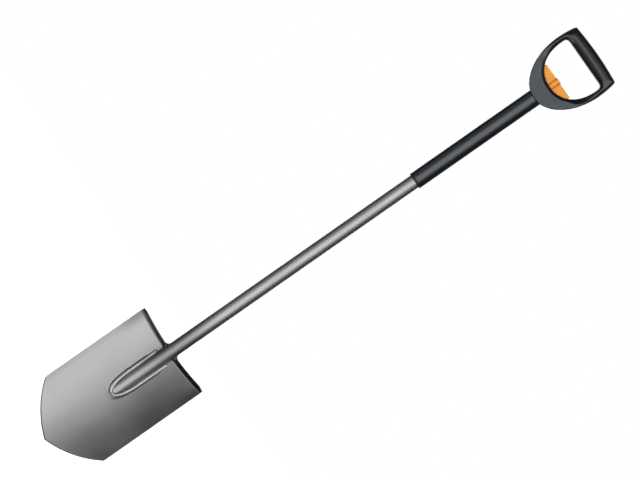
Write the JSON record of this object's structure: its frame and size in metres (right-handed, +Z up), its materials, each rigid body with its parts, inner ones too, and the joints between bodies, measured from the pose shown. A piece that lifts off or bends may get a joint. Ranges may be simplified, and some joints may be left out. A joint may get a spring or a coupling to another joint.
{
  "type": "telescopic garden spade",
  "caption": "Long spade with a pointed hollow steel blade and folded tread, a steel shaft that telescopes in a black tube, and a D-handle with an orange length-release trigger.",
  "frame": {"origin": "middle of the underside of the grip bar, where the spade hangs on a hook", "axes": "+Z up along the shaft towards the grip, -Y the hollow front of the blade, +X to the right seen from the front"},
  "size_m": [0.19, 0.0629, 1.2509],
  "materials": {
    "blade_steel": "satin ground steel, darker at the edges",
    "shaft_steel": "satin",
    "sleeve_coating": "black satin coating on aluminium",
    "handle_plastic": "fine moulded grain",
    "trigger_plastic": "satin orange",
    "bearing_plastic": "smooth",
    "seal_rubber": "matt",
    "fastener_steel": "zinc plated"
  },
  "bodies": {
    "handle": {"handle_front_shell": "handle_plastic", "handle_rear_shell": "handle_plastic", "handle_screw_1": "fastener_steel", "handle_screw_2": "fastener_steel", "handle_screw_3": "fastener_steel", "handle_screw_4": "fastener_steel", "handle_screw_5": "fastener_steel", "handle_screw_6": "fastener_steel", "handle_cross_pin": "fastener_steel", "upper_tube": "sleeve_coating", "sleeve_collar": "bearing_plastic", "collar_rivet": "fastener_steel", "wiper_seal": "seal_rubber", "lock_carrier": "bearing_plastic", "shoe_cage": "bearing_plastic", "cage_pin_left": "fastener_steel", "cage_pin_right": "fastener_steel", "shoe_return_ring": "seal_rubber"},
    "shaft_and_blade": {"lower_shaft": "shaft_steel", "blade": "blade_steel", "socket_weld_bead": "shaft_steel", "tread_weld_left": "shaft_steel", "tread_weld_right": "shaft_steel", "shaft_guide_bush": "bearing_plastic", "guide_bush_rivet": "fastener_steel"},
    "trigger": {"release_trigger": "trigger_plastic", "trigger_rod_nut": "fastener_steel", "spring_seat_washer": "fastener_steel", "trigger_return_spring": "fastener_steel", "push_rod": "fastener_steel", "wedge_cone": "fastener_steel", "cone_nut": "fastener_steel"},
    "clamp_shoe_left": {"clamp_shoe_left": "fastener_steel"},
    "clamp_shoe_right": {"clamp_shoe_right": "fastener_steel"}
  },
  "joints": [
    {"name": "telescope", "type": "slide", "parent": "handle", "child": "shaft_and_blade", "axis": [0, 0, 1], "range_m": [0, 0.2]},
    {"name": "trigger_press", "type": "slide", "parent": "handle", "child": "trigger", "axis": [0, 0, -1], "range_m": [0, 0.008], "stiffness_N_per_m": 1500, "springref_m": -0.004, "deforming": ["trigger_return_spring"]},
    {"name": "shoe_left_slide", "type": "slide", "parent": "handle", "child": "clamp_shoe_left", "axis": [1, 0, 0], "range_m": [0, 0.001]},
    {"name": "shoe_right_slide", "type": "slide", "parent": "handle", "child": "clamp_shoe_right", "axis": [-1, 0, 0], "range_m": [0, 0.001]}
  ],
  "couplings": [
    {"joint": "shoe_left_slide", "follows": "trigger_press", "ratio": 0.125},
    {"joint": "shoe_right_slide", "follows": "trigger_press", "ratio": 0.125}
  ]
}
